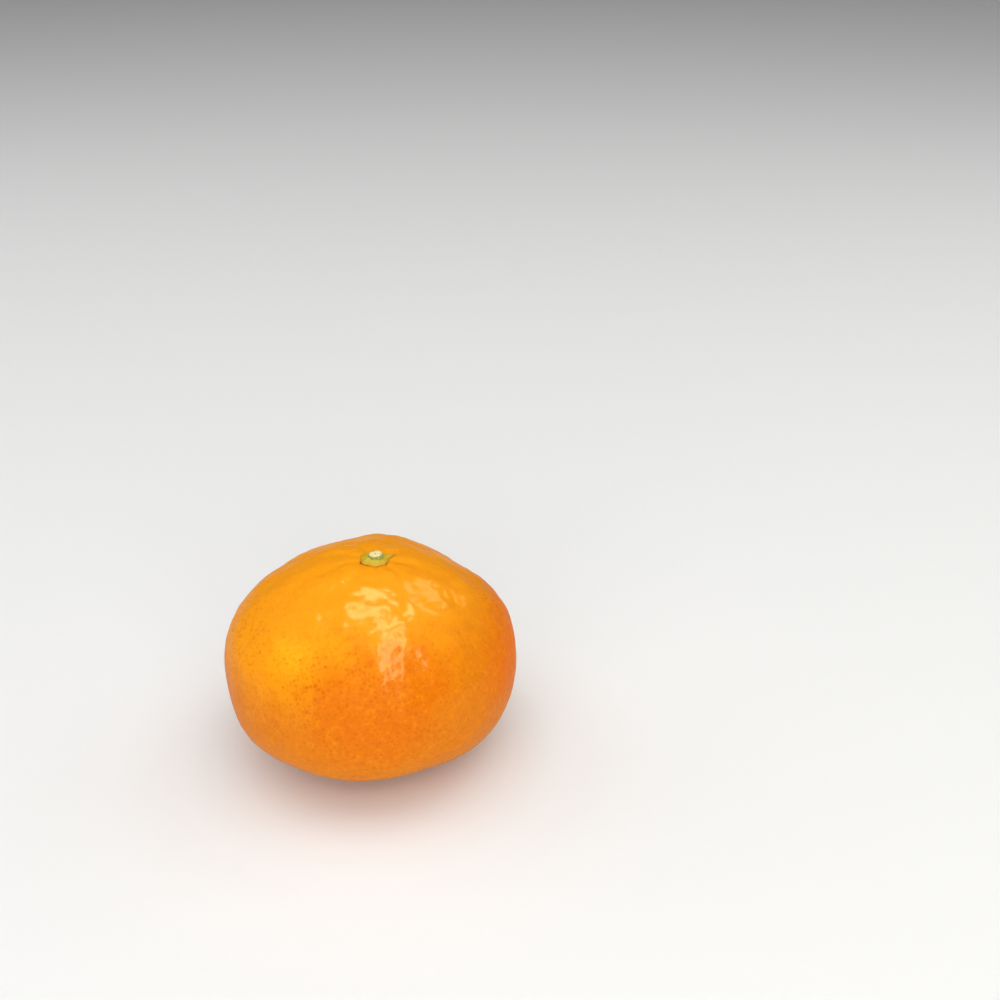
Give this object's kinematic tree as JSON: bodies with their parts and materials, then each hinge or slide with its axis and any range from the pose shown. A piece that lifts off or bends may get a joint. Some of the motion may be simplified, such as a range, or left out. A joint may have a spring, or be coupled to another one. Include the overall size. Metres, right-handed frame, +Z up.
{
  "type": "mandarin",
  "caption": "Whole fresh mandarin, a flattened round citrus fruit with glossy pitted orange peel, a small green calyx and a cut stem stub, resting on its base.",
  "frame": {"origin": "on the surface it rests on, under the middle of the fruit's outline seen from above", "axes": "+Z up along the resting height, -Y towards the side that the picture shows, +X to its right"},
  "size_m": [0.0724, 0.072, 0.0537],
  "materials": {
    "peel": "satin",
    "calyx": "satin",
    "stem": "matte"
  },
  "bodies": {
    "root": {"fruit": "peel", "calyx": "calyx", "stem": "stem"}
  },
  "joints": []
}
